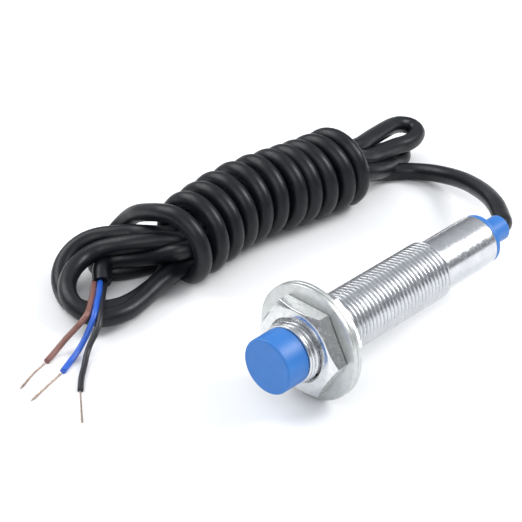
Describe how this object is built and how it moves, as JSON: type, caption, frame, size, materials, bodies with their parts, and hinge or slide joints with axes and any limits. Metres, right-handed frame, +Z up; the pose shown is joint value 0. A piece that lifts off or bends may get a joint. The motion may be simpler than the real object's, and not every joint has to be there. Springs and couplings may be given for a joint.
{
  "type": "inductive proximity sensor",
  "caption": "Cylindrical inductive proximity sensor: threaded nickel barrel, blue sensing cap, hex clamping nuts on flat washers, and a hanked black cable with bare wire ends.",
  "frame": {"origin": "centre of the flat sensing face, on the barrel's axis", "axes": "+Y runs from the sensing face along the barrel to the cable, the sensing face looks along -Y, +Z is up"},
  "size_m": [0.0777, 0.1245, 0.0234],
  "materials": {
    "nickel_brass": "bright nickel plating on turned brass",
    "zinc_steel": "satin plated steel",
    "blue_plastic": "satin moulded blue plastic",
    "ferrite": "dark sintered ferrite",
    "bobbin_plastic": "natural moulded nylon",
    "enamelled_copper": "enamelled copper wire",
    "board_laminate": "green solder resist on glass laminate",
    "ceramic_chip": "sintered ceramic with tinned ends",
    "chip_resin": "black moulding compound with tinned legs",
    "resistor_chip": "black glazed chip with tinned ends",
    "diode_body": "red-brown glass body",
    "led_lens": "clear red lens",
    "tantalum_resin": "ochre moulded capacitor",
    "potting_resin": "dark grey cast resin",
    "black_jacket": "satin black PVC",
    "brown_insulation": "satin brown PVC",
    "blue_insulation": "satin blue PVC",
    "black_insulation": "satin black PVC",
    "tinned_copper": "thin tinned copper strands"
  },
  "bodies": {
    "housing": {"barrel": "nickel_brass", "sensing_cap": "blue_plastic", "rear_cap": "blue_plastic", "ferrite_core": "ferrite", "coil_bobbin": "bobbin_plastic", "coil_winding": "enamelled_copper", "coil_lead_left": "enamelled_copper", "coil_lead_right": "enamelled_copper", "circuit_board": "board_laminate", "tuning_capacitor": "ceramic_chip", "oscillator_chip": "chip_resin", "feedback_resistor": "resistor_chip", "bias_resistor": "resistor_chip", "protection_diode": "diode_body", "output_transistor": "chip_resin", "indicator_led": "led_lens", "filter_capacitor": "tantalum_resin", "potting_plug": "potting_resin", "core_wire_brown": "brown_insulation", "core_wire_blue": "blue_insulation", "core_wire_black": "black_insulation", "cable_stub": "black_jacket", "cable_lead": "black_jacket", "cable_hank": "black_jacket", "wire_brown": "brown_insulation", "wire_blue": "blue_insulation", "wire_black": "black_insulation", "strands_brown": "tinned_copper", "strands_blue": "tinned_copper", "strands_black": "tinned_copper"},
    "front_washer": {"front_washer": "zinc_steel"},
    "front_nut": {"front_nut": "nickel_brass"},
    "rear_washer": {"rear_washer": "zinc_steel"},
    "rear_nut": {"rear_nut": "nickel_brass"}
  },
  "joints": [
    {"name": "front_washer_slide", "type": "slide", "parent": "housing", "child": "front_washer", "axis": [0, -1, 0], "range_m": [0, 0.00151]},
    {"name": "front_nut_spin", "type": "hinge", "parent": "front_washer", "child": "front_nut", "pos_m": [0, 0.00925, 0], "axis": [0, -1, 0], "range_deg": [0, 540]},
    {"name": "rear_washer_slide", "type": "slide", "parent": "housing", "child": "rear_washer", "axis": [0, 1, 0], "range_m": [0, 0.02901]},
    {"name": "rear_nut_spin", "type": "hinge", "parent": "rear_washer", "child": "rear_nut", "pos_m": [0, 0.01445, 0], "axis": [0, 1, 0], "range_deg": [0, 10440]}
  ],
  "couplings": [
    {"joint": "front_washer_slide", "follows": "front_nut_spin", "m_per_rad": 0.00015915},
    {"joint": "rear_washer_slide", "follows": "rear_nut_spin", "m_per_rad": 0.00015915}
  ]
}
